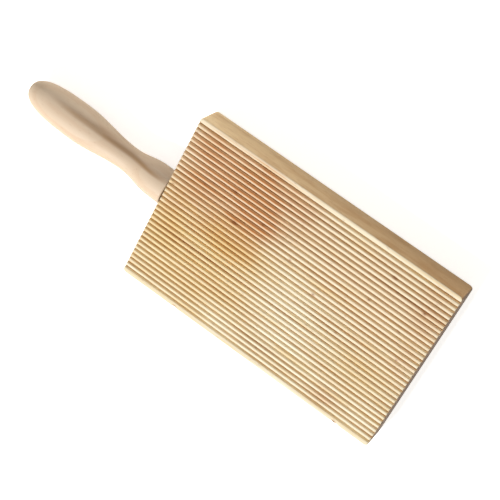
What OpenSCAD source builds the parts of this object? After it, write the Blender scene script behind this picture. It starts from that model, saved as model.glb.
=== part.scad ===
// Gnocchi board: a ridged beech board with a turned handle glued into one end.
// The origin is the centre of the board's back face. +X runs along the ridges,
// away from the handle, and +Z leaves the ridged face.

/* [Board] */
// Length along the ridges
board_l = 200.5; // [120:0.5:300]
// Width across the ridges
board_w = 126.4; // [70:0.1:180]
// Thickness over the ridges
board_t = 22.2; // [19:0.1:30]
// Rounding of the long and short edges, sanded by hand
edge_r = 1; // [0.5:0.1:1.6]
// Rounding of the four upright corners
corner_r = 2.5; // [0.8:0.1:4]

/* [Ridges] */
// Distance from one groove to the next
groove_pitch = 3.68; // [3.2:0.01:6]
// Width of a groove's mouth, before its crests are rounded
groove_w = 1.95; // [1.4:0.05:2.4]
// Depth of a groove
groove_depth = 2; // [1:0.05:2.4]
// Width of the flat at the bottom of a groove
groove_floor_w = 0.3; // [0.1:0.05:0.5]
// Rounding of a ridge's two crests
crest_r = 0.4; // [0.1:0.05:0.5]
// Least flat left between an outer groove and the board's side
side_land = 2.5; // [2:0.1:8]

/* [Handle] */
// Length from shoulder to tip
handle_l = 118.5; // [80:0.5:160]
// Diameter of the collar that meets the board
collar_d = 24.2; // [18:0.1:30]
// Length of the straight part of the collar
collar_l = 11; // [4:0.5:20]
// Rounding of the collar's edge at the shoulder
collar_edge_r = 1; // [0.3:0.1:2]
// Diameter at the neck
neck_d = 17.9; // [13:0.1:22]
// Distance from shoulder to neck
neck_at = 34; // [26:0.5:45]
// Diameter of the belly
belly_d = 26.1; // [20:0.1:34]
// Distance from shoulder to the belly's widest place
belly_at = 77; // [55:0.5:78]
// Fullness of the domed end, where 2 is an ellipse
dome_power = 2.8; // [2:0.1:4]

/* [Joint] */
// Diameter of the tenon turned on the handle
tenon_d = 12; // [8:0.1:13]
// Length of the tenon
tenon_l = 30; // [15:0.5:45]
// Chamfer on the tenon's end
tenon_chamfer = 1; // [0.3:0.1:2]
// Thickness of the glue film between tenon and bore
glue_t = 0.15; // [0.1:0.01:0.3]
// Bare length that the glue film leaves at each end of the tenon
glue_bare_l = 1; // [0.5:0.1:3]
// Pocket left at the bottom of the bore for surplus glue
bore_pocket = 2; // [1:0.1:4]
// Sideways offset of the bore from the board's middle
bore_offset = 1.9; // [-6:0.1:6]
// Angle by which bore and handle lean sideways, as drilled
handle_lean = 1.5; // [0:0.1:3]

/* [Hidden] */
$fn = 96;
// Straight pieces that a crest's rounding is drawn with
crest_steps = 3;
// Straight pieces that each curve of the handle is drawn with
curve_steps = 16;
// Length by which a cutting shape passes the face it cuts
over = 1;

// Grooves that fit between the two side lands, spread about the middle
groove_n = floor((board_w - 2 * side_land - groove_w) / groove_pitch) + 1;
first_groove_y = -(groove_n - 1) * groove_pitch / 2;
// Steepness of a groove's wall and the length its crest rounding takes
wall_angle = atan2(groove_depth, (groove_w - groove_floor_w) / 2);
crest_run = crest_r * tan(wall_angle / 2);

handle_z = board_t / 2;
bore_d = tenon_d + 2 * glue_t;
// The leaning shoulder touches the board with one side of its edge only
collar_flat_r = collar_d / 2 - collar_edge_r;
shoulder_back = collar_flat_r * sin(handle_lean) + collar_edge_r * (1 - cos(handle_lean));
bore_l = tenon_l - shoulder_back + bore_pocket;

// Points of an arc about a centre, from one angle to another
function arc(centre, r, from, to, steps) =
    [for (i = [0 : steps])
        let (a = from + (to - from) * i / steps)
        centre + r * [cos(a), sin(a)]];

// Points of a smooth swell or cove from one station and radius to the next
function swell(at_a, r_a, at_b, r_b) =
    [for (i = [1 : curve_steps])
        let (t = i / curve_steps)
        [r_a + (r_b - r_a) * (1 - cos(180 * t)) / 2, at_a + (at_b - at_a) * t]];

// Points of the domed end, from the belly to the tip
function dome(at_a, r, at_b) =
    [for (i = [1 : curve_steps])
        let (a = 90 * i / curve_steps, p = 2 / dome_power)
        [i == curve_steps ? 0 : r * pow(cos(a), p), at_a + (at_b - at_a) * pow(sin(a), p)]];

// Outline of one groove with its two rounded crests, as depth below the face
function groove_points(y) = concat(
    arc([y - groove_w / 2 - crest_run, -crest_r], crest_r, 90, 90 - wall_angle, crest_steps),
    [[y - groove_floor_w / 2, -groove_depth], [y + groove_floor_w / 2, -groove_depth]],
    arc([y + groove_w / 2 + crest_run, -crest_r], crest_r, 90 + wall_angle, 90, crest_steps));

// Rectangle with four round corners, centred on the origin
module round_rect(size, r) {
    square([size[0], size[1] - 2 * r], center = true);
    square([size[0] - 2 * r, size[1]], center = true);
    for (x = [-1, 1], y = [-1, 1])
        translate([x * (size[0] / 2 - r), y * (size[1] / 2 - r)])
            circle(r);
}

// Section across the ridges, with the ridged face at the top
module ridge_section() {
    intersection() {
        translate([0, board_t / 2])
            round_rect([board_w, board_t], edge_r);
        translate([0, board_t])
            polygon(concat(
                [[-board_w / 2 - over, -board_t - over], [-board_w / 2 - over, 0]],
                [for (i = [0 : groove_n - 1]) each groove_points(first_groove_y + i * groove_pitch)],
                [[board_w / 2 + over, 0], [board_w / 2 + over, -board_t - over]]));
    }
}

// Puts a shape turned about Z on the leaning axis, with Z pointing out of the board
module on_handle_axis() {
    translate([-board_l / 2, bore_offset, handle_z])
        rotate([0, 0, -handle_lean])
            rotate([0, -90, 0])
                children();
}

module ridged_board() {
    color("burlywood")
        difference() {
            intersection() {
                linear_extrude(board_t)
                    round_rect([board_l, board_w], corner_r);
                translate([0, board_w / 2, board_t / 2])
                    rotate([90, 0, 0])
                        linear_extrude(board_w)
                            round_rect([board_l, board_t], edge_r);
                translate([-board_l / 2, 0, 0])
                    rotate([90, 0, 90])
                        linear_extrude(board_l)
                            ridge_section();
            }
            on_handle_axis()
                translate([0, 0, -bore_l])
                    cylinder(d = bore_d, h = bore_l + over);
        }
}

module handle() {
    color("wheat")
        on_handle_axis()
            translate([0, 0, shoulder_back])
                rotate_extrude()
                    polygon(concat(
                        [[0, -tenon_l], [tenon_d / 2 - tenon_chamfer, -tenon_l]],
                        [[tenon_d / 2, tenon_chamfer - tenon_l], [tenon_d / 2, 0]],
                        arc([collar_flat_r, collar_edge_r], collar_edge_r, -90, 0, crest_steps + 2),
                        [[collar_d / 2, collar_l]],
                        swell(collar_l, collar_d / 2, neck_at, neck_d / 2),
                        swell(neck_at, neck_d / 2, belly_at, belly_d / 2),
                        dome(belly_at, belly_d / 2, handle_l)));
}

module glue_film() {
    color("khaki")
        on_handle_axis()
            translate([0, 0, shoulder_back + tenon_chamfer + glue_bare_l - tenon_l])
                difference() {
                    cylinder(d = bore_d, h = tenon_l - tenon_chamfer - 2 * glue_bare_l - shoulder_back);
                    translate([0, 0, -over])
                        cylinder(d = tenon_d, h = tenon_l + 2 * over);
                }
}

ridged_board();
handle();
glue_film();
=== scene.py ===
"""Gnocchi board: a ridged beech board with a turned beech handle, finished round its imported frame."""

import math

import bmesh
import bpy
import numpy as np
from mathutils import Matrix, Vector
from mathutils.geometry import tessellate_polygon


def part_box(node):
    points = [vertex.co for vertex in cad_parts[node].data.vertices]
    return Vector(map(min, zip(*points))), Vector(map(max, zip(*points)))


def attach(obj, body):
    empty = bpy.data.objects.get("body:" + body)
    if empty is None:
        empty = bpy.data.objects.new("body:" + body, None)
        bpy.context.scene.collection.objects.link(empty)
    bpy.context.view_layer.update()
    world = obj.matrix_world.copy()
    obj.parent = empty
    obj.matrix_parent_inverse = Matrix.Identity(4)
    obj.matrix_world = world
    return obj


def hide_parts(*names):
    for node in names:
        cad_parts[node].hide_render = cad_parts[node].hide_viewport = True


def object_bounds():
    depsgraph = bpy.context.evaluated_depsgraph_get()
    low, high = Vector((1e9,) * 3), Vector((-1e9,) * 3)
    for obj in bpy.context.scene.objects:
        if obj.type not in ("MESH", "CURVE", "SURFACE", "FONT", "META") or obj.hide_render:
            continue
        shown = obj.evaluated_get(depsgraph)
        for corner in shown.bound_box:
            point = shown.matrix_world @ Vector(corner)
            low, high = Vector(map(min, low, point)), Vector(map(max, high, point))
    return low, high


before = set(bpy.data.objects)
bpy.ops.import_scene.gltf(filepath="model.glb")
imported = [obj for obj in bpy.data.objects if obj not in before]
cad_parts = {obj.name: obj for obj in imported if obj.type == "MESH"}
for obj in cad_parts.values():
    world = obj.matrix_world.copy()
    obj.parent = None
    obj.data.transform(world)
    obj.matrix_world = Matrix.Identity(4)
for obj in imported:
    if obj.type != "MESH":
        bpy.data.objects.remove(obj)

bl_info = {
    "name": "Gnocchi board",
    "version": (1, 0, 0),
    "blender": (4, 5, 0),
    "location": "3D View > Sidebar > Gnocchi Board",
    "description": "Makes a ridged beech board with a turned handle, and a pale studio round it",
    "category": "Add Mesh",
}

# One millimetre in the scene's metres
MM = 0.001
BODY = "root"

# The frame's own sizes, which the defaults below come from
CAD_LOW, CAD_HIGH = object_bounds()
BOARD_LOW, BOARD_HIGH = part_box("ridged_board")
BOARD_SIZE = BOARD_HIGH - BOARD_LOW


def linear(hex_colour):
    """Turns an sRGB hex colour into the linear values that the shaders take."""
    channels = [int(hex_colour[i : i + 2], 16) / 255 for i in (0, 2, 4)]
    return tuple(c / 12.92 if c <= 0.04045 else ((c + 0.055) / 1.055) ** 2.4 for c in channels)


def rgba(colour):
    """Adds full opacity to a linear colour."""
    return (*colour, 1.0)


class BoardSizes(bpy.types.PropertyGroup):
    """Sizes of the ridged board."""

    length: bpy.props.FloatProperty(
        name="Length", description="Length along the ridges", default=BOARD_SIZE[0], unit="LENGTH"
    )
    width: bpy.props.FloatProperty(
        name="Width", description="Width across the ridges", default=BOARD_SIZE[1], unit="LENGTH"
    )
    thickness: bpy.props.FloatProperty(
        name="Thickness", description="Thickness over the ridges", default=BOARD_SIZE[2], unit="LENGTH"
    )
    groove_pitch: bpy.props.FloatProperty(
        name="Groove pitch", description="Distance between grooves", default=3.68 * MM, unit="LENGTH"
    )
    groove_width: bpy.props.FloatProperty(
        name="Groove width", description="Width of a groove's mouth", default=1.95 * MM, unit="LENGTH"
    )
    groove_depth: bpy.props.FloatProperty(
        name="Groove depth", description="Depth of a groove", default=2.0 * MM, unit="LENGTH"
    )
    groove_floor: bpy.props.FloatProperty(
        name="Groove floor", description="Flat at a groove's bottom", default=0.3 * MM, unit="LENGTH"
    )
    crest_round: bpy.props.FloatProperty(
        name="Crest rounding", description="Rounding of a ridge's edges", default=0.4 * MM, unit="LENGTH"
    )
    side_land: bpy.props.FloatProperty(
        name="Side land", description="Least flat beside an outer groove", default=2.5 * MM, unit="LENGTH"
    )
    edge_round: bpy.props.FloatProperty(
        name="Edge rounding", description="Rounding of the edges", default=1.0 * MM, unit="LENGTH"
    )
    corner_round: bpy.props.FloatProperty(
        name="Corner rounding", description="Rounding of upright corners", default=2.5 * MM, unit="LENGTH"
    )


class HandleSizes(bpy.types.PropertyGroup):
    """Sizes of the turned handle and of its glued joint."""

    length: bpy.props.FloatProperty(
        name="Length", description="Length from shoulder to tip", default=118.5 * MM, unit="LENGTH"
    )
    collar_width: bpy.props.FloatProperty(
        name="Collar", description="Diameter at the board", default=24.2 * MM, unit="LENGTH"
    )
    collar_length: bpy.props.FloatProperty(
        name="Collar length", description="Straight part of the collar", default=11 * MM, unit="LENGTH"
    )
    collar_edge: bpy.props.FloatProperty(
        name="Collar edge", description="Rounding at the shoulder", default=1.0 * MM, unit="LENGTH"
    )
    neck_width: bpy.props.FloatProperty(
        name="Neck", description="Diameter at the neck", default=17.9 * MM, unit="LENGTH"
    )
    neck_at: bpy.props.FloatProperty(
        name="Neck distance", description="From shoulder to neck", default=34 * MM, unit="LENGTH"
    )
    belly_width: bpy.props.FloatProperty(
        name="Belly", description="Largest diameter", default=26.1 * MM, unit="LENGTH"
    )
    belly_at: bpy.props.FloatProperty(
        name="Belly distance", description="From shoulder to belly", default=77 * MM, unit="LENGTH"
    )
    dome_power: bpy.props.FloatProperty(
        name="Dome fullness", description="Fullness of the tip, where 2 is an ellipse", default=2.8
    )
    tenon_width: bpy.props.FloatProperty(
        name="Tenon", description="Diameter of the tenon", default=12 * MM, unit="LENGTH"
    )
    tenon_length: bpy.props.FloatProperty(
        name="Tenon length", description="Length of the tenon", default=30 * MM, unit="LENGTH"
    )
    tenon_chamfer: bpy.props.FloatProperty(
        name="Tenon chamfer", description="Chamfer on the tenon's end", default=1 * MM, unit="LENGTH"
    )
    glue_thickness: bpy.props.FloatProperty(
        name="Glue", description="Glue film between tenon and bore", default=0.15 * MM, unit="LENGTH"
    )
    bore_pocket: bpy.props.FloatProperty(
        name="Bore pocket", description="Space past the tenon's end", default=2 * MM, unit="LENGTH"
    )
    offset: bpy.props.FloatProperty(
        name="Bore offset", description="Bore's distance off the middle", default=1.9 * MM, unit="LENGTH"
    )
    lean: bpy.props.FloatProperty(
        name="Lean", description="Sideways lean of the handle", default=math.radians(1.5), unit="ROTATION"
    )


class BeechColours(bpy.types.PropertyGroup):
    """Colours of the wood, the glue and the floor."""

    board: bpy.props.FloatVectorProperty(
        name="Board", description="Cream beech of the board", subtype="COLOR", default=linear("F7ECCF")
    )
    board_late: bpy.props.FloatVectorProperty(
        name="Latewood", description="Darker part of a year ring", subtype="COLOR", default=linear("DFC294")
    )
    golden: bpy.props.FloatVectorProperty(
        name="Golden part", description="Yellower wood", subtype="COLOR", default=linear("EBCD90")
    )
    pale: bpy.props.FloatVectorProperty(
        name="Pale part", description="Palest wood", subtype="COLOR", default=linear("FBF2DA")
    )
    pinkish: bpy.props.FloatVectorProperty(
        name="Pinkish part", description="Pinker wood", subtype="COLOR", default=linear("F4DEBD")
    )
    heart: bpy.props.FloatVectorProperty(
        name="Red heart", description="Reddish heartwood", subtype="COLOR", default=linear("CC7E36")
    )
    # Partly painted shade: this tone darkens each groove with depth, along with the tone of open cut fibres
    groove: bpy.props.FloatVectorProperty(
        name="Groove", description="Cut fibres deep in a groove", subtype="COLOR", default=linear("D0A268")
    )
    # Partly painted shade along the bottom of the grooves in the heart; it also colours stained grooves and
    # knot halos
    groove_heart: bpy.props.FloatVectorProperty(
        name="Heart groove", description="Heartwood in a groove", subtype="COLOR", default=linear("AA662A")
    )
    side: bpy.props.FloatVectorProperty(
        name="Sides", description="Tan of the board's long sides", subtype="COLOR", default=linear("F0D2A2")
    )
    side_cloud: bpy.props.FloatVectorProperty(
        name="Side clouds", description="Browner clouds", subtype="COLOR", default=linear("AE783E")
    )
    fleck: bpy.props.FloatVectorProperty(
        name="Ray flecks", description="Short brown ray flecks", subtype="COLOR", default=linear("A87448")
    )
    knot: bpy.props.FloatVectorProperty(
        name="Pin knots", description="Dark heart of a pin knot", subtype="COLOR", default=linear("6E3014")
    )
    # End grain's own darker tone, deepened by painted shade on the end faces that turn away from the lamps
    end_grain: bpy.props.FloatVectorProperty(
        name="End grain", description="Wood cut across its grain", subtype="COLOR", default=linear("54381F")
    )
    vessel: bpy.props.FloatVectorProperty(
        name="Vessels", description="Open vessels", subtype="COLOR", default=linear("5C442C")
    )
    handle: bpy.props.FloatVectorProperty(
        name="Handle", description="Pale pinkish beech, turned", subtype="COLOR", default=linear("E2CBB0")
    )
    handle_late: bpy.props.FloatVectorProperty(
        name="Handle latewood", description="Darker ring part", subtype="COLOR", default=linear("DABA9A")
    )
    # Painted shade for the darkest line along the handle's +Y flank
    handle_painted_shade: bpy.props.FloatVectorProperty(
        name="Handle streak", description="Brown growth streak", subtype="COLOR", default=linear("A4784A")
    )
    # Greyer end grain, and painted shade on the handle's tip
    handle_grey_and_tip_shade: bpy.props.FloatVectorProperty(
        name="Handle grey", description="Greyer wood", subtype="COLOR", default=linear("C4AE92")
    )
    glue: bpy.props.FloatVectorProperty(
        name="Glue", description="Set wood glue", subtype="COLOR", default=linear("C9A563")
    )
    glue_thick: bpy.props.FloatVectorProperty(
        name="Thick glue", description="Thicker set glue", subtype="COLOR", default=linear("A77E3E")
    )
    floor: bpy.props.FloatVectorProperty(
        name="Floor", description="Warm white studio floor", subtype="COLOR", default=linear("F6F1E7")
    )


# The camera stands where the photo was taken from, and looks at a point inside the board
CAMERA_PLACE = Vector((0.15844, 0.45630, 0.86551))
CAMERA_AIM = Vector((-0.03156, 0.00300, 0.01768))
CAMERA_UP = Vector((-0.56655, 0.77274, -0.28618))
# Width of the sensor and focal length, in millimetres
SENSOR_WIDTH = 36.0
LENS = 109.38

# Lamps: name, place, size across and watts; each faces the object's middle
LAMPS = (
    ("key_softbox", Vector((-0.40, -1.70, 2.03)), 0.50, 68.5),
    ("side_softbox", Vector((-0.17, 0.30, 0.04)), 0.15, 0.18),
)
# Light of the white surroundings on the object, which the camera and mirrors see at strength 1
WORLD_LIGHT = 0.34
# Light that the floor shows to the camera and in mirrors, so that its shaded parts stay pale
FLOOR_GLOW = 0.72
# Half of the floor's width, in metres
FLOOR_HALF_WIDTH = 3.0

# Parts of the plank with a tone of their own: distance along and across from the middle, half
# length and half width in millimetres, and strength
HEART_PARTS = (
    (-58.0, 38.0, 48.0, 31.0, 1.00),
    (-42.0, 44.0, 14.0, 25.0, 0.42),
    (-86.0, 22.0, 16.0, 12.0, 0.30),
    (-15.0, 52.0, 14.0, 10.0, 0.35),
    (2.0, 48.0, 16.0, 14.0, 0.20),
    (-86.0, 51.0, 11.0, 11.0, 0.30),
    (-50.0, 16.0, 6.0, 4.0, 0.45),
    (-34.0, 22.0, 13.0, 14.0, 0.52),
    (-62.0, 2.0, 40.0, 10.0, 0.26),
    (-36.0, -2.0, 12.0, 10.0, 0.20),
    (-92.0, 0.0, 9.0, 14.0, 0.28),
    (-82.0, -18.0, 20.0, 4.0, 0.30),
    (58.0, -52.0, 10.0, 9.0, 0.40),
    (90.0, 40.0, 12.0, 24.0, 0.38),
    (92.0, 0.0, 9.0, 14.0, 0.25),
)
GOLDEN_PARTS = (
    (-44.0, 2.0, 30.0, 14.0, 0.90),
    (-60.0, -28.0, 50.0, 32.0, 0.85),
    (-90.0, -6.0, 16.0, 26.0, 0.55),
    (70.0, -20.0, 26.0, 20.0, 0.35),
)
PALE_PARTS = (
    (8.0, -6.0, 22.0, 12.0, 0.80),
    (12.0, -28.0, 26.0, 16.0, 0.80),
    (-28.0, -50.0, 16.0, 9.0, 0.70),
    (86.0, -46.0, 12.0, 10.0, 0.50),
)
PINKISH_PARTS = (
    (44.0, 30.0, 56.0, 30.0, 0.80),
    (66.0, 2.0, 20.0, 16.0, 0.30),
)
# Single grooves, and some groups of them, that stay darker for a stretch, in the same terms
STAINED_GROOVES = (
    (-58.0, -18.4, 34.0, 1.1, 0.80),
    (18.0, -18.4, 30.0, 1.1, 0.50),
    (76.0, -22.1, 30.0, 1.1, 0.50),
    (58.0, -7.4, 34.0, 1.0, 0.55),
    (-76.0, -7.4, 22.0, 1.0, 0.45),
    (-70.0, -51.5, 20.0, 1.0, 0.35),
    (2.0, -48.0, 20.0, 1.1, 0.50),
    (-14.0, 51.5, 30.0, 1.0, 0.40),
    (36.0, 44.0, 60.0, 16.0, 0.25),
    (82.0, 36.0, 26.0, 14.0, 0.40),
    (2.0, -50.0, 14.0, 8.0, 0.30),
    (-86.0, -22.0, 12.0, 12.0, 0.35),
    (30.0, 29.4, 40.0, 1.0, 0.35),
    (70.0, 40.5, 26.0, 1.0, 0.45),
    (60.0, 11.0, 30.0, 1.0, 0.35),
)
# Painted shade: a brown line along the handle's +Y flank, where its shading is darkest, in the same terms
PAINTED_SHADE_LINES = (
    (-112.0, 6.6, 12.0, 1.6, 0.5),
    (-136.0, 6.0, 24.0, 1.5, 0.9),
    (-170.0, 7.6, 24.0, 1.9, 0.7),
)
# Painted shade on the handle's tip, where the dome turns away from the lamps, in the same terms
PAINTED_TIP_SHADE = ((-214.0, 6.0, 9.0, 5.0, 0.5), (-196.0, 2.0, 20.0, 6.0, 0.15))
# Pin knots and pits: distance along and across from the middle and radius in millimetres, and strength
PIN_KNOTS = (
    (-98.0, 52.5, 0.6, 0.5),
    (-96.7, 12.4, 0.6, 0.5),
    (-57.2, 33.8, 0.8, 0.7),
    (-48.5, 15.3, 1.0, 0.8),
    (-31.4, 25.2, 0.7, 0.5),
    (-22.2, 48.2, 0.7, 0.5),
    (-4.7, 16.0, 0.6, 0.5),
    (19.4, 5.3, 0.6, 0.6),
    (58.1, 48.0, 0.8, 0.8),
    (51.4, 25.0, 0.6, 0.5),
    (-77.8, 25.5, 0.7, 0.4),
    (44.5, -7.9, 0.5, 0.5),
    (85.4, 39.2, 0.7, 0.6),
    (77.9, 18.6, 0.6, 0.5),
    (86.3, 1.3, 0.6, 0.5),
    (-57.0, -62.4, 0.7, 0.8),
    (73.5, -62.4, 0.8, 0.8),
)
# Chips in the long edge on the -Y side: distance along, half length and depth, in millimetres
EDGE_CHIPS = ((-57.0, 1.2, 0.45), (72.0, 1.0, 0.35), (76.0, 1.6, 0.45))
# How far a chip reaches down for each millimetre that it reaches in
CHIP_DROP = 0.6
# Dents in the crests: how many, and the least and most of half length and depth, in millimetres
DENT_COUNT = 90
DENT_HALF_LENGTH = (0.7, 2.4)
DENT_DEPTH = (0.05, 0.28)
DENT_SEED = 7
# Least and most rounding of a ridge's hand-sanded ends, as shares of the edge's rounding
RIDGE_END_ROUNDING = (0.7, 1.25)
# Waves in the crests, as moulded wood has them once it has dried: length and half height in millimetres
CREST_WAVES = ((31.0, 0.012), (67.0, 0.018), (150.0, 0.025))
# Distance between the cross sections of the board's mesh, fine enough for its dents
SECTION_STEP = 0.9 * MM
# How far the turned handle dries out of round, and the shallow waves that the tool leaves in it:
# their height, and the length in which they turn by one radian
OVAL = 0.05 * MM
TOOL_WAVE = 0.018 * MM
TOOL_WAVE_RADIAN = 2.1 * MM


def handle_axis(sizes):
    """Matrix whose Z runs along the leaning handle, out of the board, from the bore's mouth."""
    mouth = Vector((BOARD_LOW[0], sizes.offset, (BOARD_LOW[2] + BOARD_HIGH[2]) / 2))
    lean = Matrix.Rotation(-sizes.lean, 4, "Z")
    return Matrix.Translation(mouth) @ lean @ Matrix.Rotation(math.radians(-90), 4, "Y")


def shoulder_back(sizes):
    """Distance that the leaning shoulder stands off the board along the handle's axis."""
    flat = sizes.collar_width / 2 - sizes.collar_edge
    return flat * math.sin(sizes.lean) + sizes.collar_edge * (1 - math.cos(sizes.lean))


def new_piece(context, name, points, faces, material, cad_node):
    """Links a smooth mesh as a finished piece that stands for one node of the frame."""
    mesh = bpy.data.meshes.new(name)
    mesh.from_pydata([tuple(p) for p in points], [], faces)
    mesh.validate()
    mesh.update()
    mesh.shade_smooth()
    mesh.materials.append(material)
    piece = bpy.data.objects.new(name, mesh)
    context.scene.collection.objects.link(piece)
    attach(piece, BODY)
    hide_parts(cad_node)
    return piece


def groove_places(s):
    """How many grooves fit between the side lands, and how far across the first one lies."""
    count = int((s.width - 2 * s.side_land - s.groove_width) / s.groove_pitch) + 1
    return count, -(count - 1) * s.groove_pitch / 2


def board_outline(s):
    """Section across the ridges: y, z, the ridge each point is on, and its place on that ridge.

    It runs over the ridged face from -Y to +Y, down the side, back over the underside and up.
    A ridge number of -1 is a point off the ridges. The place is -1 to 1 across a crest.
    """
    # How finely each stretch of the outline is drawn
    arc_steps, wall_steps, corner_steps, side_steps, back_steps = 4, 3, 6, 8, 24
    half, top, r = s.width / 2, s.thickness, s.crest_round
    count, first = groove_places(s)
    steep = math.atan2(s.groove_depth, (s.groove_width - s.groove_floor) / 2)
    run = r * math.tan(steep / 2)
    arc = [(r * math.sin(a), r - r * math.cos(a)) for a in np.linspace(0, steep, arc_steps)]
    foot = (s.groove_width / 2 + run - s.groove_floor / 2, s.groove_depth)
    wall = [
        (arc[-1][0] + (foot[0] - arc[-1][0]) * t, arc[-1][1] + (foot[1] - arc[-1][1]) * t)
        for t in np.linspace(0, 1, wall_steps + 1)[1:]
    ]
    slope = arc + wall
    corner = [
        (s.edge_round * (1 - math.sin(a)), s.edge_round * (1 - math.cos(a)))
        for a in np.linspace(0, math.pi / 2, corner_steps)
    ]
    outline = [(-half + y, top - d, -1, 0.0) for y, d in reversed(corner)]
    outline.append((-half + (s.edge_round + s.side_land) / 2, top, 0, -0.5))
    for i in range(count):
        middle = first + i * s.groove_pitch
        lip = s.groove_width / 2 + run
        outline += [(middle - lip + y, top - d, i, 1.0) for y, d in slope]
        outline += [(middle + lip - y, top - d, i + 1, -1.0) for y, d in reversed(slope)]
        if i < count - 1:
            outline.append((middle + s.groove_pitch / 2, top, i + 1, 0.0))
    outline.append((half - (s.edge_round + s.side_land) / 2, top, count, 0.5))
    outline += [(half - y, top - d, -1, 0.0) for y, d in corner]
    rest = np.linspace(top - s.edge_round, s.edge_round, side_steps)[1:-1]
    outline += [(half, z, -1, 0.0) for z in rest]
    outline += [(half - y, d, -1, 0.0) for y, d in reversed(corner)]
    inner = np.linspace(half - s.edge_round, -half + s.edge_round, back_steps)[1:-1]
    outline += [(y, 0.0, -1, 0.0) for y in inner]
    outline += [(-half + y, d, -1, 0.0) for y, d in corner]
    outline += [(-half, z, -1, 0.0) for z in reversed(rest)]
    y, z, ridge, place = (np.array(column) for column in zip(*outline))
    return y, z, ridge.astype(int), place


def stations(length, fine, spacing):
    """Places along the board, close together at its eased ends."""
    half = length / 2
    # Places of the close sections as shares of the stretch, drawing together towards the end face
    steps = np.array([0.0, 0.04, 0.1, 0.2, 0.32, 0.46, 0.62, 0.8, 1.0]) * fine
    count = int((length - 2 * fine) / spacing)
    middle = np.linspace(-half + fine, half - fine, count)[1:-1]
    return np.concatenate([-half + steps, middle, (half - steps)[::-1]])


def easing(distance, radius):
    """How far a rounded edge lies inside the square one, at a distance from the end."""
    short = np.clip(radius - distance, 0, radius)
    return radius - np.sqrt(radius**2 - short**2)


def board_points(s):
    """Grid of the board's points: one row for each station, one column for each outline point."""
    y, z, ridge, place = board_outline(s)
    # The close stations reach a little past the rounded corners
    x = stations(s.length, s.corner_round * 1.2, SECTION_STEP)
    rng = np.random.default_rng(DENT_SEED)
    to_end = s.length / 2 - np.abs(x)
    # The slack takes in the grooves' own floors
    on_top = z > s.thickness - s.groove_depth * 1.01
    crest = (ridge >= 0) & (z > s.thickness - s.crest_round)
    zone = s.side_land
    outer = np.abs(y) > s.width / 2 - zone
    corner = easing(to_end, s.corner_round)[:, None]
    pull = np.where(outer, (np.abs(y) - s.width / 2 + zone) / zone, 0.0)
    grid_y = y - np.sign(y) * pull * corner
    # Hand sanding leaves each ridge's end a little rounder or sharper than the next
    ridge_count = ridge.max() + 1
    roundness = rng.uniform(*RIDGE_END_ROUNDING, ridge_count)
    ease = np.array([easing(to_end, s.edge_round * k) for k in roundness]).T
    plain = easing(to_end, s.edge_round)[:, None]
    end_drop = np.where(ridge >= 0, ease[:, np.clip(ridge, 0, None)], plain)
    phase = rng.uniform(0, 2 * math.pi, (len(CREST_WAVES), ridge_count))
    wander = sum(
        half_height * MM * (1 + np.sin(2 * math.pi * x[:, None] / (wave * MM) + start[None, :]))
        for (wave, half_height), start in zip(CREST_WAVES, phase)
    )
    drop = np.where(crest, wander[:, np.clip(ridge, 0, None)], 0.0)
    # Small dents and torn fibres on the crests' edges
    for _ in range(DENT_COUNT):
        at = rng.uniform(-s.length / 2, s.length / 2)
        which = rng.integers(0, ridge_count)
        side = rng.choice([-1.0, 0.0, 1.0])
        half_length = rng.uniform(*DENT_HALF_LENGTH) * MM
        depth = rng.uniform(*DENT_DEPTH) * MM
        shape = np.exp(-(((x - at) / half_length) ** 2))[:, None]
        reach = np.clip(1 - np.abs(place - side), 0, 1)
        drop = drop + depth * shape * np.where(crest & (ridge == which), reach, 0.0)
    top_z = np.minimum(z, s.thickness - end_drop) - drop
    low_z = np.maximum(z, plain)
    grid_z = np.where(on_top, top_z, low_z)
    # Chips broken out of the long edge
    edge = (y < 0) & outer & on_top
    for at, half_length, depth in EDGE_CHIPS:
        shape = np.exp(-(((x - at * MM) / (half_length * MM)) ** 2))[:, None]
        inward = np.where(edge, pull, 0.0) * depth * MM * shape
        grid_y = grid_y + inward
        grid_z = grid_z - inward * CHIP_DROP
    grid_x = np.broadcast_to(x[:, None], grid_z.shape)
    return np.stack([grid_x, np.broadcast_to(grid_y, grid_z.shape), grid_z], axis=2)


def bore_rings(s):
    """Rings of the blind bore's wall: its mouth in the board's end face, and its bottom."""
    sides = 64
    axis = handle_axis(s)
    radius = s.tenon_width / 2 + s.glue_thickness
    deep = s.tenon_length - shoulder_back(s) + s.bore_pocket
    out = (axis @ Vector((0, 0, 1))) - axis.translation
    mouth, bottom = [], []
    for i in range(sides):
        a = 2 * math.pi * i / sides
        wall = axis @ Vector((radius * math.cos(a), radius * math.sin(a), -deep))
        bottom.append(wall)
        mouth.append(wall + out * ((BOARD_LOW[0] - wall.x) / out.x))
    return mouth, bottom


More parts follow.
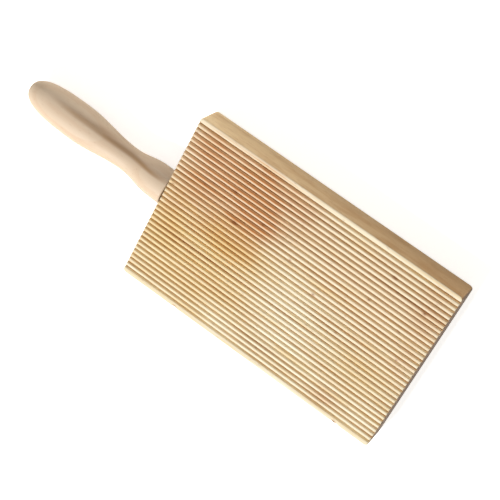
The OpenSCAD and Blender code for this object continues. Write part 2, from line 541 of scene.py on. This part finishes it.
class GNOCCHI_OT_board(bpy.types.Operator):
    """Makes the ridged board with its grooves, eased edges, small chips and blind bore"""

    bl_idname = "gnocchi.board"
    bl_label = "Ridged board"

    def execute(self, context):
        s = context.scene.gnocchi_board
        grid = board_points(s)
        rows, columns = grid.shape[:2]
        points = [Vector(p) for p in grid.reshape(-1, 3)]
        faces = []
        for i in range(rows - 1):
            for j in range(columns):
                a, b = i * columns + j, i * columns + (j + 1) % columns
                faces.append((a, b, b + columns, a + columns))
        # Far end cap, then the near one with the bore's mouth left open
        far = [points[(rows - 1) * columns + j] for j in range(columns)]
        near = points[:columns]
        base = (rows - 1) * columns
        faces += [tuple(base + k for k in t) for t in tessellate_polygon([far])]
        mouth, bottom = bore_rings(context.scene.gnocchi_handle)
        start = len(points)
        sides = len(mouth)
        points += mouth + bottom
        index = list(range(columns)) + list(range(start, start + sides))
        faces += [tuple(index[k] for k in t) for t in tessellate_polygon([near, mouth])]
        for i in range(sides):
            a, b = start + i, start + (i + 1) % sides
            faces.append((a, b, b + sides, a + sides))
        faces.append(tuple(start + sides + i for i in range(sides)))
        material = board_material(context)
        piece = new_piece(context, "ridged_plank", points, faces, material, "ridged_board")
        tidy_normals(piece.data)
        # The two sawn ends are flat, and only the easing round them is smooth
        for face in piece.data.polygons:
            face.use_smooth = abs(face.normal.x) < 0.999
        return {"FINISHED"}


def tidy_normals(mesh):
    """Turns every face outward."""
    work = bmesh.new()
    work.from_mesh(mesh)
    bmesh.ops.recalc_face_normals(work, faces=work.faces)
    work.to_mesh(mesh)
    work.free()


def swell(from_at, from_radius, to_at, to_radius, steps):
    """Points of a smooth cove or swell between two stations of the handle."""
    t = np.linspace(0, 1, steps + 1)[1:]
    radius = from_radius + (to_radius - from_radius) * (1 - np.cos(math.pi * t)) / 2
    return list(zip(radius, from_at + (to_at - from_at) * t))


def handle_profile(s):
    """Outline of tenon and handle as radius and distance from the shoulder, end to end."""
    # How finely each stretch of the outline is drawn
    tenon_steps, shoulder_steps, edge_steps, collar_steps = 8, 5, 7, 14
    neck_steps, belly_steps, dome_steps = 34, 56, 60
    tenon, collar = s.tenon_width / 2, s.collar_width / 2
    flat = collar - s.collar_edge
    chamfer_end = s.tenon_chamfer - s.tenon_length
    profile = [(tenon - s.tenon_chamfer, -s.tenon_length), (tenon, chamfer_end)]
    profile += [(tenon, d) for d in np.linspace(chamfer_end, 0, tenon_steps)[1:]]
    profile += [(r, 0.0) for r in np.linspace(tenon, flat, shoulder_steps)[1:-1]]
    profile += [
        (flat + s.collar_edge * math.sin(a), s.collar_edge * (1 - math.cos(a)))
        for a in np.linspace(0, math.pi / 2, edge_steps)
    ]
    profile += [(collar, d) for d in np.linspace(s.collar_edge, s.collar_length, collar_steps)[1:]]
    profile += swell(s.collar_length, collar, s.neck_at, s.neck_width / 2, neck_steps)
    profile += swell(s.neck_at, s.neck_width / 2, s.belly_at, s.belly_width / 2, belly_steps)
    reach = s.length - s.belly_at
    power = 2 / s.dome_power
    for a in np.linspace(0, math.pi / 2, dome_steps + 1)[1:-1]:
        radius = s.belly_width / 2 * math.cos(a) ** power
        profile.append((radius, s.belly_at + reach * math.sin(a) ** power))
    return profile


class GNOCCHI_OT_handle(bpy.types.Operator):
    """Turns the handle with its collar, neck, belly, domed tip and glued tenon"""

    bl_idname = "gnocchi.handle"
    bl_label = "Turned handle"

    def execute(self, context):
        s = context.scene.gnocchi_handle
        sides = 144
        axis = handle_axis(s) @ Matrix.Translation((0, 0, shoulder_back(s)))
        profile = handle_profile(s)
        points = [axis @ Vector((0, 0, -s.tenon_length))]
        for radius, along in profile:
            for i in range(sides):
                a = 2 * math.pi * i / sides
                # The shoulder stays true, and the rest grows slightly oval and wavy, but hardly thicker
                share = min(max((along - s.collar_edge) / s.collar_length, 0), 1)
                oval = OVAL * math.cos(2 * a) * radius / s.neck_width
                wave = TOOL_WAVE * math.sin(along / TOOL_WAVE_RADIAN + math.sin(a))
                r = radius + (oval + wave - OVAL) * share
                points.append(axis @ Vector((r * math.cos(a), r * math.sin(a), along)))
        points.append(axis @ Vector((0, 0, s.length)))
        faces = []
        last = len(points) - 1
        for i in range(sides):
            j = (i + 1) % sides
            faces.append((0, 1 + j, 1 + i))
            for k in range(len(profile) - 1):
                a = 1 + k * sides
                faces.append((a + i, a + j, a + sides + j, a + sides + i))
            end = 1 + (len(profile) - 1) * sides
            faces.append((end + i, end + j, last))
        material = handle_material(context)
        piece = new_piece(context, "turned_handle", points, faces, material, "handle")
        tidy_normals(piece.data)
        return {"FINISHED"}


# Short names for the shader nodes that come up most
MATH, MIX, RANGE, VECTOR = "ShaderNodeMath", "ShaderNodeMix", "ShaderNodeMapRange", "ShaderNodeVectorMath"
NOISE, CELLS = "ShaderNodeTexNoise", "ShaderNodeTexVoronoi"
SPLIT, COORDINATES = "ShaderNodeSeparateXYZ", "ShaderNodeTexCoord"
SMOOTH = {"interpolation_type": "SMOOTHSTEP"}


def node(tree, kind, inputs, **settings):
    """Adds one shader node with its settings, values and links, and returns its outputs."""
    made = tree.nodes.new(kind)
    for name, value in settings.items():
        setattr(made, name, value)
    for key, value in inputs.items():
        if isinstance(value, bpy.types.NodeSocket):
            tree.links.new(value, made.inputs[key])
        else:
            made.inputs[key].default_value = value
    return made.outputs


def blank_material(name):
    """Makes an empty material and returns it with its node tree."""
    material = bpy.data.materials.new(name)
    material.use_nodes = True
    material.node_tree.nodes.clear()
    return material, material.node_tree


def place_in_mm(tree, turn=0.0):
    """Object coordinates in millimetres, turned about Z to run along the grain."""
    place = node(tree, COORDINATES, {})["Object"]
    look = {"Vector": place, "Rotation": (0.0, 0.0, turn), "Scale": (1 / MM, 1 / MM, 1 / MM)}
    return node(tree, "ShaderNodeMapping", look)[0]


def cell(along, across):
    """Scale of a pattern whose cells are so long along the grain and so wide across it, in millimetres."""
    return (1 / along, 1 / across, 1 / across)


def beech_figure(tree, place, pith, ring_width):
    """Year rings, fibres and ray flecks of beech, as a solid pattern that runs through the wood.

    The pith is where the rings' middle lies, across and above, in millimetres.
    """
    sway_cells = node(tree, VECTOR, {0: place, 1: cell(160.0, 45.0)}, operation="MULTIPLY")[0]
    sway = node(tree, NOISE, {"Vector": sway_cells, "Scale": 1.0, "Detail": 1.0})[0]
    around = node(tree, VECTOR, {0: place, 1: (0.0, pith[0], pith[1])}, operation="SUBTRACT")[0]
    flat = node(tree, VECTOR, {0: around, 1: (0.0, 1.0, 1.0)}, operation="MULTIPLY")[0]
    distance = node(tree, VECTOR, {0: flat}, operation="LENGTH")["Value"]
    bent = node(tree, MATH, {0: sway, 1: 9.0, 2: distance}, operation="MULTIPLY_ADD")[0]
    count = node(tree, MATH, {0: bent, 1: ring_width}, operation="DIVIDE")[0]
    year = node(tree, MATH, {0: count}, operation="FRACT")[0]
    # A year ring darkens slowly and ends sharply
    slow = node(tree, RANGE, {0: year, 1: 0.35, 2: 0.92}, **SMOOTH)[0]
    sharp = node(tree, RANGE, {0: year, 1: 1.0, 2: 0.93}, **SMOOTH)[0]
    rings = node(tree, MATH, {0: slow, 1: sharp}, operation="MULTIPLY")[0]
    # Fibres are about 0.02 mm wide and are drawn at 0.5 mm so that they show
    fibre_cells = node(tree, VECTOR, {0: place, 1: cell(14.0, 0.5)}, operation="MULTIPLY")[0]
    fibre_look = {"Vector": fibre_cells, "Scale": 1.0, "Detail": 3.0, "Roughness": 0.6}
    fibres = node(tree, NOISE, fibre_look)[0]
    # Ray flecks are 2 to 3 mm long and 0.2 mm wide and are drawn 0.4 mm wide so that they show
    fleck_cells = node(tree, VECTOR, {0: place, 1: cell(6.5, 1.15)}, operation="MULTIPLY")[0]
    rays = node(tree, CELLS, {"Vector": fleck_cells, "Scale": 1.0})
    chance = node(tree, "ShaderNodeSeparateColor", {0: rays["Color"]})[0]
    chosen = node(tree, RANGE, {0: chance, 1: 0.25, 2: 0.9}, **SMOOTH)[0]
    flecks = node(tree, RANGE, {0: rays["Distance"], 1: 0.24, 2: 0.12, 4: chosen}, **SMOOTH)[0]
    return rings, fibres, flecks


def end_grain(tree, place):
    """1 where the wood is cut across its grain, and the open vessels that show there.

    The vessels are under 0.1 mm wide and are drawn in cells of 0.45 mm so that they show.
    """
    normal = node(tree, COORDINATES, {})["Normal"]
    facing = node(tree, MATH, {0: node(tree, SPLIT, {0: normal})[0]}, operation="ABSOLUTE")[0]
    cut = node(tree, RANGE, {0: facing, 1: 0.55, 2: 0.95}, **SMOOTH)[0]
    vessel_cells = node(tree, VECTOR, {0: place, 1: cell(6.0, 0.45)}, operation="MULTIPLY")[0]
    distance = node(tree, CELLS, {"Vector": vessel_cells, "Scale": 1.0})["Distance"]
    vessels = node(tree, RANGE, {0: distance, 1: 0.42, 2: 0.18, 4: cut}, **SMOOTH)[0]
    return cut, vessels


def patches(tree, place, spots, wander):
    """Sum of soft oval spots whose edges wander by the given distance, in millimetres."""
    edge_cells = node(tree, VECTOR, {0: place, 1: cell(22.0, 14.0)}, operation="MULTIPLY")[0]
    edge_look = {"Vector": edge_cells, "Scale": 1.0, "Detail": 3.0, "Roughness": 0.55}
    warp = node(tree, NOISE, edge_look)[1]
    moved = node(tree, VECTOR, {0: warp, 1: (wander, wander, 0.0), 2: place}, operation="MULTIPLY_ADD")[0]
    total = 0.0
    # Each spot is full up to a fifth of its size, and gone at one and a half times its size
    for at_x, at_y, half_length, half_width, strength in spots:
        centre = (at_x + wander / 2, at_y + wander / 2, 0.0)
        near = node(tree, VECTOR, {0: moved, 1: centre}, operation="SUBTRACT")[0]
        oval = (1 / half_length, 1 / half_width, 0.0)
        round_spot = node(tree, VECTOR, {0: near, 1: oval}, operation="MULTIPLY")[0]
        reach = node(tree, VECTOR, {0: round_spot}, operation="LENGTH")["Value"]
        spot = node(tree, RANGE, {0: reach, 1: 1.5, 2: 0.2, 4: strength}, **SMOOTH)[0]
        total = node(tree, MATH, {0: total, 1: spot}, operation="ADD")[0]
    return total


def wood_surface(material, tree, colour, layers, relief, depth, roughness):
    """Lays the tones over the wood's own colour, each by its share, and ends the material.

    The relief is a list of heights and weights. Bare wood has the IOR of cellulose and a broad
    dull gloss.
    """
    for share, strength, tone in layers:
        factor = node(tree, MATH, {0: share, 1: strength}, operation="MULTIPLY", use_clamp=True)[0]
        colour = node(tree, MIX, {0: factor, 6: colour, 7: rgba(tone)}, data_type="RGBA")[2]
    height = 0.0
    for part, weight in relief:
        height = node(tree, MATH, {0: part, 1: weight, 2: height}, operation="MULTIPLY_ADD")[0]
    bump = node(tree, "ShaderNodeBump", {"Height": height, "Distance": depth})[0]
    look = {
        "Base Color": colour,
        "Roughness": roughness,
        "Normal": bump,
        "IOR": 1.53,
        "Specular IOR Level": 0.2,
    }
    shader = node(tree, "ShaderNodeBsdfPrincipled", look)[0]
    node(tree, "ShaderNodeOutputMaterial", {"Surface": shader})
    return material


def board_material(context):
    """Raw beech, moulded and sanded.

    The eye gets cream crests over orange-brown grooves, because sanding cleans only the crests
    while cut fibres in a groove lie open and painted shade deepens in the groove, and soft reddish
    patches of heartwood. Painted shade also lies on each crest's +Y half and on the cut ends, and
    painted light on the groove walls.
    """
    s = context.scene.gnocchi_board
    c = context.scene.gnocchi_colours
    material, tree = blank_material("moulded_beech")
    place = place_in_mm(tree)
    rings, fibres, flecks = beech_figure(tree, place, (22.0, -96.0), 3.4)
    along, across, up = node(tree, SPLIT, {0: place})
    half_length, half_width, top = s.length / MM / 2, s.width / MM / 2, s.thickness / MM
    depth = s.groove_depth / MM

    # Streaks along the grain, and the broad parts of the plank with a tone of their own
    streak_cells = node(tree, VECTOR, {0: place, 1: cell(46.0, 2.2)}, operation="MULTIPLY")[0]
    streak = node(tree, NOISE, {"Vector": streak_cells, "Scale": 1.0})[0]
    streaks = node(tree, RANGE, {0: streak, 1: 0.45, 2: 0.72}, **SMOOTH)[0]
    fibre_tone = node(tree, RANGE, {0: fibres, 1: 0.3, 2: 0.75}, **SMOOTH)[0]
    golden = patches(tree, place, GOLDEN_PARTS, 16.0)
    pinkish = patches(tree, place, PINKISH_PARTS, 16.0)
    pale = patches(tree, place, PALE_PARTS, 16.0)
    heart = patches(tree, place, HEART_PARTS, 18.0)
    streaky = node(tree, RANGE, {0: streak, 1: 0.2, 2: 0.65, 3: 0.7, 4: 1.0}, **SMOOTH)[0]
    heart = node(tree, MATH, {0: heart, 1: streaky}, operation="MULTIPLY", use_clamp=True)[0]

    # Share of the groove's tone, from none on the crest to all at the bottom, in uneven stretches: the tone
    # of open cut fibres, and painted shade that deepens with the groove
    deep = node(tree, RANGE, {0: up, 1: top - 0.2 * depth, 2: top - 0.95 * depth}, **SMOOTH)[0]
    # It ends on the flats beside the outer grooves, close to the end faces and just below the grooves
    aside = node(tree, MATH, {0: across}, operation="ABSOLUTE")[0]
    beyond = node(tree, MATH, {0: along}, operation="ABSOLUTE")[0]
    inside_y = node(tree, RANGE, {0: aside, 1: half_width - 1.6, 2: half_width - 2.2}, **SMOOTH)[0]
    inside_x = node(tree, RANGE, {0: beyond, 1: half_length - 0.02, 2: half_length - 0.3}, **SMOOTH)[0]
    above = node(tree, MATH, {0: up, 1: top - depth - 0.2}, operation="GREATER_THAN")[0]
    inside = node(tree, MATH, {0: inside_y, 1: inside_x}, operation="MULTIPLY")[0]
    inside = node(tree, MATH, {0: inside, 1: above}, operation="MULTIPLY")[0]
    groove = node(tree, MATH, {0: deep, 1: inside}, operation="MULTIPLY")[0]
    stretch_cells = node(tree, VECTOR, {0: place, 1: cell(60.0, 2.8)}, operation="MULTIPLY")[0]
    stretch = node(tree, NOISE, {"Vector": stretch_cells, "Scale": 1.0})[0]
    stretches = node(tree, RANGE, {0: stretch, 1: 0.35, 2: 0.65, 3: 0.30, 4: 1.0}, **SMOOTH)[0]
    stains = patches(tree, place, STAINED_GROOVES, 0.0)
    stained = node(tree, MATH, {0: groove, 1: stains}, operation="MULTIPLY")[0]
    groove_fibres_and_shade = node(tree, MATH, {0: groove, 1: stretches}, operation="MULTIPLY")[0]
    # Pale parts darken less. In the heart this tone fades, and a darker one lies along the bottom alone:
    # heartwood deepened by painted shade at the groove's bottom
    plain = node(tree, MATH, {0: heart, 1: -0.7, 2: 1.0}, operation="MULTIPLY_ADD")[0]
    plain = node(tree, MATH, {0: pale, 1: -0.4, 2: plain}, operation="MULTIPLY_ADD", use_clamp=True)[0]
    groove_fibres_and_shade = node(tree, MATH, {0: groove_fibres_and_shade, 1: plain}, operation="MULTIPLY")[0]
    low = {0: up, 1: top - 0.6 * depth, 2: top - 0.95 * depth, 4: inside}
    bottom = node(tree, RANGE, low, **SMOOTH)[0]
    groove_heart = node(tree, MATH, {0: bottom, 1: heart}, operation="MULTIPLY")[0]

    # Painted shade: each crest's +Y half, turned away from the key lamp, holds more of the heart's tone
    first = groove_places(s)[1] / MM
    ridge = node(tree, MATH, {0: across, 1: first}, operation="SUBTRACT")[0]
    ridge = node(tree, MATH, {0: ridge, 1: s.groove_pitch / MM}, operation="DIVIDE")[0]
    ridge = node(tree, MATH, {0: ridge}, operation="FRACT")[0]
    crest_half_in_painted_shade = node(tree, RANGE, {0: ridge, 1: 0.50, 2: 0.62, 3: 0.35, 4: 1.0}, **SMOOTH)[0]
    # The walls hold less of it, a painted lightening of their shade, and the plain back holds half
    high = {0: up, 1: top - 0.45 * depth, 2: top - 0.1 * depth, 3: 0.55, 4: 1.0}
    wall = node(tree, RANGE, high, **SMOOTH)[0]
    held = node(tree, MATH, {0: crest_half_in_painted_shade, 1: wall}, operation="MULTIPLY")[0]
    held = node(tree, MIX, {0: inside, 2: 0.5, 3: held})[0]
    heart_with_painted_shade = node(tree, MATH, {0: heart, 1: held}, operation="MULTIPLY")[0]
    # Single ridges are a little pinker or yellower than their neighbours for a few centimetres
    band_cells = node(tree, VECTOR, {0: place, 1: cell(38.0, 2.6)}, operation="MULTIPLY")[0]
    band = node(tree, NOISE, {"Vector": band_cells, "Scale": 1.0})[0]
    pink_bands = node(tree, RANGE, {0: band, 1: 0.52, 2: 0.74}, **SMOOTH)[0]
    gold_bands = node(tree, RANGE, {0: band, 1: 0.46, 2: 0.26}, **SMOOTH)[0]

    # The two long sides keep the tan of the saw-cut plank, browner away from the handle
    normal = node(tree, COORDINATES, {})["Normal"]
    level = node(tree, MATH, {0: node(tree, SPLIT, {0: normal})[2]}, operation="ABSOLUTE")[0]
    outside = node(tree, MATH, {0: 1.0, 1: inside}, operation="SUBTRACT")[0]
    side = node(tree, RANGE, {0: level, 1: 0.92, 2: 0.45, 4: outside}, **SMOOTH)[0]
    away = node(tree, RANGE, {0: along, 1: -half_length, 2: half_length, 4: side})[0]
    cloud_cells = node(tree, VECTOR, {0: place, 1: cell(26.0, 7.0)}, operation="MULTIPLY")[0]
    cloud = node(tree, NOISE, {"Vector": cloud_cells, "Scale": 1.0, "Detail": 3.0})[0]
    clouds = node(tree, RANGE, {0: cloud, 1: 0.4, 2: 0.7, 4: side}, **SMOOTH)[0]

    # Pin knots and pits lie in the ridged face, drawn out along the grain and downward
    squash = Vector((0.6, 1.0, 0.4))
    squat = node(tree, VECTOR, {0: place, 1: squash}, operation="MULTIPLY")[0]
    knots, halos = 0.0, 0.0
    for at_x, at_y, radius, strength in PIN_KNOTS:
        centre = squash * Vector((at_x, at_y, top))
        off = node(tree, VECTOR, {0: squat, 1: centre}, operation="DISTANCE")["Value"]
        knot = node(tree, RANGE, {0: off, 1: radius, 2: radius * 0.3, 4: strength}, **SMOOTH)[0]
        halo = node(tree, RANGE, {0: off, 1: radius * 2.4, 2: radius * 0.7, 4: strength}, **SMOOTH)[0]
        knots = node(tree, MATH, {0: knots, 1: knot}, operation="ADD")[0]
        halos = node(tree, MATH, {0: halos, 1: halo}, operation="ADD")[0]

    cut, vessels = end_grain(tree, place)
    layers = (
        (rings, 0.30, c.board_late),
        (streaks, 0.35, c.board_late),
        (fibre_tone, 0.20, c.board_late),
        (golden, 0.75, c.golden),
        (pinkish, 0.75, c.pinkish),
        (pale, 0.65, c.pale),
        (pink_bands, 0.45, c.pinkish),
        (gold_bands, 0.50, c.golden),
        # Heart tone on the crests, shaped by painted shade on their +Y halves and painted light on the
        # walls
        (heart_with_painted_shade, 0.92, c.heart),
        # Groove tone: open cut fibres, and painted shade that deepens with depth
        (groove_fibres_and_shade, 0.92, c.groove),
        # Heartwood tone with painted shade along the grooves' bottoms
        (groove_heart, 0.95, c.groove_heart),
        (stained, 0.70, c.groove_heart),
        (side, 0.85, c.side),
        (away, 0.58, c.side_cloud),
        (clouds, 0.38, c.side_cloud),
        (flecks, 0.40, c.fleck),
        (halos, 0.60, c.groove_heart),
        (knots, 0.90, c.knot),
        # The cut ends take end grain's darker tone, partly painted shade
        (cut, 0.90, c.end_grain),
        (vessels, 0.45, c.vessel),
    )
    # Fibres stand by hundredths of a millimetre, and flecks and open vessels sink
    relief = ((fibres, 0.6), (flecks, -0.3), (vessels, -0.8))
    roughness = node(tree, RANGE, {0: fibres, 1: 0.2, 2: 0.8, 3: 0.52, 4: 0.66}, **SMOOTH)[0]
    return wood_surface(material, tree, rgba(c.board), layers, relief, 0.05 * MM, roughness)


def handle_material(context):
    """Raw beech, turned on a lathe and sanded.

    The eye gets a paler and pinker wood than the board, silky along the grain, with faint rings
    left by the tool and a greyer tip where the grain is cut across. Painted shade greys the tip
    further and lays a brown line along the +Y flank where the handle's shading is darkest.
    """
    s = context.scene.gnocchi_handle
    c = context.scene.gnocchi_colours
    material, tree = blank_material("turned_beech")
    place = place_in_mm(tree, s.lean)
    rings, fibres, flecks = beech_figure(tree, place, (-16.0, -22.0), 4.2)
    streak_cells = node(tree, VECTOR, {0: place, 1: cell(60.0, 5.0)}, operation="MULTIPLY")[0]
    streak = node(tree, NOISE, {"Vector": streak_cells, "Scale": 1.0})[0]
    streaks = node(tree, RANGE, {0: streak, 1: 0.45, 2: 0.75}, **SMOOTH)[0]
    fibre_tone = node(tree, RANGE, {0: fibres, 1: 0.35, 2: 0.8}, **SMOOTH)[0]
    cut, vessels = end_grain(tree, place)
    # Painted shade: greyer wood where the tip turns away from the lamps
    painted_tip_grey = patches(tree, place, PAINTED_TIP_SHADE, 10.0)
    # Painted shade: a brown line where the handle's shading is darkest
    painted_core_shade = patches(tree, place, PAINTED_SHADE_LINES, 0.0)

    # Tool rings run round the handle so many millimetres apart, and are a few micrometres deep
    ring_step = 0.8
    along = node(tree, SPLIT, {0: place})[0]
    drift_cells = node(tree, VECTOR, {0: place, 1: cell(9.0, 40.0)}, operation="MULTIPLY")[0]
    drift = node(tree, NOISE, {"Vector": drift_cells, "Scale": 1.0})[0]
    uneven = node(tree, MATH, {0: drift, 1: 2.0, 2: along}, operation="MULTIPLY_ADD")[0]
    phase = node(tree, MATH, {0: uneven, 1: 2 * math.pi / ring_step}, operation="MULTIPLY")[0]
    tool_rings = node(tree, MATH, {0: phase}, operation="SINE")[0]

    layers = (
        (rings, 0.35, c.handle_late),
        (streaks, 0.40, c.handle_late),
        (fibre_tone, 0.18, c.handle_late),
        (painted_tip_grey, 0.60, c.handle_grey_and_tip_shade),
        (painted_core_shade, 0.75, c.handle_painted_shade),
        (flecks, 0.22, c.fleck),
        (cut, 0.30, c.handle_grey_and_tip_shade),
        (vessels, 0.30, c.vessel),
    )
    relief = ((tool_rings, 0.06), (fibres, 0.35), (vessels, -0.8))
    roughness = node(tree, RANGE, {0: fibres, 1: 0.2, 2: 0.8, 3: 0.44, 4: 0.56}, **SMOOTH)[0]
    return wood_surface(material, tree, rgba(c.handle), layers, relief, 0.04 * MM, roughness)


def glue_material(context):
    """Set wood glue: a brittle amber film with the print of the bore's fibres in it."""
    c = context.scene.gnocchi_colours
    material, tree = blank_material("set_wood_glue")
    place = place_in_mm(tree)
    print_cells = node(tree, VECTOR, {0: place, 1: cell(6.0, 0.4)}, operation="MULTIPLY")[0]
    print_lines = node(tree, NOISE, {"Vector": print_cells, "Scale": 1.0, "Detail": 3.0})[0]
    cloud_cells = node(tree, VECTOR, {0: place, 1: cell(4.0, 4.0)}, operation="MULTIPLY")[0]
    cloud = node(tree, NOISE, {"Vector": cloud_cells, "Scale": 1.0})[0]
    share = node(tree, RANGE, {0: cloud, 1: 0.35, 2: 0.7, 4: 0.6}, **SMOOTH)[0]
    colour = node(tree, MIX, {0: share, 6: rgba(c.glue), 7: rgba(c.glue_thick)}, data_type="RGBA")[2]
    bump = node(tree, "ShaderNodeBump", {"Height": print_lines, "Distance": 0.03 * MM})[0]
    look = {"Base Color": colour, "Roughness": 0.35, "IOR": 1.47, "Normal": bump}
    shader = node(tree, "ShaderNodeBsdfPrincipled", look)[0]
    node(tree, "ShaderNodeOutputMaterial", {"Surface": shader})
    return material


class GNOCCHI_OT_glue(bpy.types.Operator):
    """Gives the glue film between tenon and bore its finish"""

    bl_idname = "gnocchi.glue"
    bl_label = "Glue film"

    def execute(self, context):
        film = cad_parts["glue_film"]
        film.data.materials.clear()
        film.data.materials.append(glue_material(context))
        return {"FINISHED"}


def seen_directly(tree):
    """1 for what the camera sees straight, in a mirror or through glass, and 0 for light on its way."""
    rays = node(tree, "ShaderNodeLightPath", {})
    seen = node(tree, MATH, {0: rays["Is Camera Ray"], 1: rays["Is Glossy Ray"]}, operation="MAXIMUM")[0]
    return node(tree, MATH, {0: seen, 1: rays["Is Transmission Ray"]}, operation="MAXIMUM")[0]


def floor_material(context):
    """Matt studio paper, white, which keeps the object's soft shadow and lights its undersides."""
    c = context.scene.gnocchi_colours
    material, tree = blank_material("studio_paper")
    glow = node(tree, MATH, {0: seen_directly(tree), 1: FLOOR_GLOW}, operation="MULTIPLY")[0]
    look = {
        "Base Color": rgba(c.floor),
        "Roughness": 0.9,
        "Specular IOR Level": 0.0,
        "Emission Color": (1.0, 1.0, 1.0, 1.0),
        "Emission Strength": glow,
    }
    shader = node(tree, "ShaderNodeBsdfPrincipled", look)[0]
    node(tree, "ShaderNodeOutputMaterial", {"Surface": shader})
    return material


class GNOCCHI_OT_stage(bpy.types.Operator):
    """Makes the pale floor, the soft lamps, the white surroundings and the camera"""

    bl_idname = "gnocchi.stage"
    bl_label = "Studio"

    def execute(self, context):
        scene = context.scene
        # The floor lies under the handle's belly, which reaches lower than the plank
        half, low = FLOOR_HALF_WIDTH, CAD_LOW[2]
        mesh = bpy.data.meshes.new("studio_floor")
        corners = [(-half, -half, low), (half, -half, low), (half, half, low), (-half, half, low)]
        mesh.from_pydata(corners, [], [(0, 1, 2, 3)])
        mesh.materials.append(floor_material(context))
        floor = bpy.data.objects.new("studio_floor", mesh)
        scene.collection.objects.link(floor)

        middle = (CAD_LOW + CAD_HIGH) / 2
        for name, place, size, watts in LAMPS:
            lamp = bpy.data.lights.new(name, "AREA")
            lamp.shape = "SQUARE"
            lamp.size = size
            lamp.energy = watts
            holder = bpy.data.objects.new(name, lamp)
            holder.location = place
            holder.rotation_mode = "QUATERNION"
            holder.rotation_quaternion = (middle - place).to_track_quat("-Z", "Y")
            scene.collection.objects.link(holder)

        world = bpy.data.worlds.new("white_room")
        world.use_nodes = True
        tree = world.node_tree
        tree.nodes.clear()
        strength = node(tree, RANGE, {0: seen_directly(tree), 3: WORLD_LIGHT, 4: 1.0})[0]
        glow = node(tree, "ShaderNodeBackground", {"Color": (1.0, 1.0, 1.0, 1.0), "Strength": strength})[0]
        node(tree, "ShaderNodeOutputWorld", {"Surface": glow})
        scene.world = world
        scene.view_settings.view_transform = "Standard"

        lens = bpy.data.cameras.new("camera")
        lens.sensor_width = SENSOR_WIDTH
        lens.lens = LENS
        camera = bpy.data.objects.new("camera", lens)
        backward = (CAMERA_PLACE - CAMERA_AIM).normalized()
        right = CAMERA_UP.cross(backward).normalized()
        upward = backward.cross(right)
        turn = Matrix((right, upward, backward)).transposed()
        camera.matrix_world = Matrix.Translation(CAMERA_PLACE) @ turn.to_4x4()
        scene.collection.objects.link(camera)
        scene.camera = camera
        return {"FINISHED"}


class GNOCCHI_PT_panel(bpy.types.Panel):
    """Lists the pieces and the studio in the 3D view's sidebar."""

    bl_idname = "GNOCCHI_PT_panel"
    bl_label = "Gnocchi Board"
    bl_space_type = "VIEW_3D"
    bl_region_type = "UI"
    bl_category = "Gnocchi Board"

    def draw(self, context):
        for operator in OPERATORS:
            self.layout.operator(operator.bl_idname)
        for group in ("gnocchi_board", "gnocchi_handle", "gnocchi_colours"):
            settings = getattr(context.scene, group)
            box = self.layout.box()
            for name in settings.__annotations__:
                box.prop(settings, name)


SETTINGS = {"gnocchi_board": BoardSizes, "gnocchi_handle": HandleSizes, "gnocchi_colours": BeechColours}
OPERATORS = (GNOCCHI_OT_stage, GNOCCHI_OT_board, GNOCCHI_OT_handle, GNOCCHI_OT_glue)


def register():
    """Registers the classes and hangs the settings on the scene."""
    for cls in (*SETTINGS.values(), *OPERATORS, GNOCCHI_PT_panel):
        bpy.utils.register_class(cls)
    for name, cls in SETTINGS.items():
        setattr(bpy.types.Scene, name, bpy.props.PointerProperty(type=cls))


def unregister():
    """Takes the settings and classes away again."""
    for name in SETTINGS:
        delattr(bpy.types.Scene, name)
    for cls in (GNOCCHI_PT_panel, *reversed(OPERATORS), *SETTINGS.values()):
        bpy.utils.unregister_class(cls)


def main():
    """Makes every piece and the studio."""
    register()
    bpy.ops.gnocchi.stage()
    bpy.ops.gnocchi.board()
    bpy.ops.gnocchi.handle()
    bpy.ops.gnocchi.glue()


if __name__ == "__main__":
    main()
